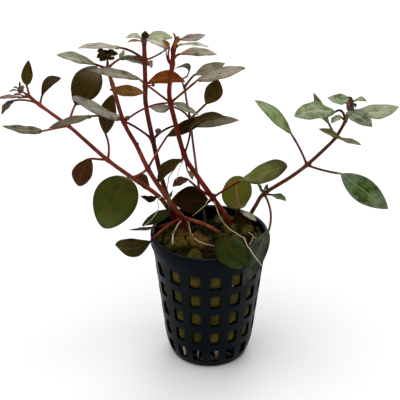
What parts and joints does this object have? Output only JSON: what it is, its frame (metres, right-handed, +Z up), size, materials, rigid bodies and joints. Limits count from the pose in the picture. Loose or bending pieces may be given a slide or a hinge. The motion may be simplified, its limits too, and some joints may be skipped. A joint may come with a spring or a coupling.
{
  "type": "ludwigia repens in a net pot",
  "caption": "Bushy reddish aquarium stem plant with opposite oval leaves, rooted in rock wool in a small black net pot.",
  "frame": {"origin": "centre of the net pot's flat underside", "axes": "+Z up along the pot, +X to the right and -Y towards the viewer of the front"},
  "size_m": [0.1686, 0.0594, 0.1516],
  "materials": {
    "pot": "satin moulded black-blue plastic",
    "wool": "wet fibrous mineral wool",
    "stem": "smooth red-brown, slightly glossy",
    "root": "cream, matte",
    "leaf_green": "waxy green leaf",
    "leaf_olive": "waxy olive leaf",
    "leaf_dark": "glossy dark olive leaf",
    "leaf_maroon": "translucent maroon leaf",
    "leaf_silver": "waxy leaf with a silvery sheen"
  },
  "bodies": {
    "root": {"net_pot": "pot", "rock_wool": "wool", "stem_a": "stem", "stem_b": "stem", "stem_c": "stem", "stem_d": "stem", "stem_e": "stem", "stem_f": "stem", "stem_g": "stem", "leaf_a1": "leaf_olive", "leaf_a2": "leaf_dark", "leaf_a3": "leaf_silver", "leaf_a4": "leaf_olive", "leaf_a5": "leaf_silver", "leaf_a6": "leaf_dark", "leaf_a7": "leaf_olive", "leaf_a8": "leaf_maroon", "leaf_b1": "leaf_silver", "leaf_b2": "leaf_dark", "leaf_b3": "leaf_silver", "leaf_b4": "leaf_silver", "leaf_b5": "leaf_dark", "leaf_b6": "leaf_green", "leaf_b7": "leaf_dark", "leaf_b8": "leaf_green", "leaf_b9": "leaf_olive", "leaf_b10": "leaf_green", "leaf_c1": "leaf_silver", "leaf_c2": "leaf_silver", "leaf_c3": "leaf_silver", "leaf_c4": "leaf_maroon", "leaf_c5": "leaf_maroon", "leaf_c6": "leaf_olive", "leaf_c7": "leaf_dark", "leaf_d1": "leaf_silver", "leaf_d2": "leaf_silver", "leaf_d3": "leaf_silver", "leaf_d4": "leaf_silver", "leaf_d5": "leaf_silver", "leaf_d6": "leaf_olive", "leaf_d7": "leaf_dark", "leaf_d8": "leaf_dark", "leaf_d9": "leaf_green", "leaf_e1": "leaf_silver", "leaf_e2": "leaf_silver", "leaf_e3": "leaf_silver", "leaf_e4": "leaf_olive", "leaf_f1": "leaf_dark", "leaf_f2": "leaf_green", "leaf_f3": "leaf_green", "leaf_f4": "leaf_silver", "leaf_f5": "leaf_olive", "leaf_f6": "leaf_green", "leaf_f7": "leaf_green", "leaf_f8": "leaf_silver", "leaf_f9": "leaf_silver", "leaf_g1": "leaf_green", "root_d": "root", "root_b": "root", "root_b_left": "root"}
  },
  "joints": []
}
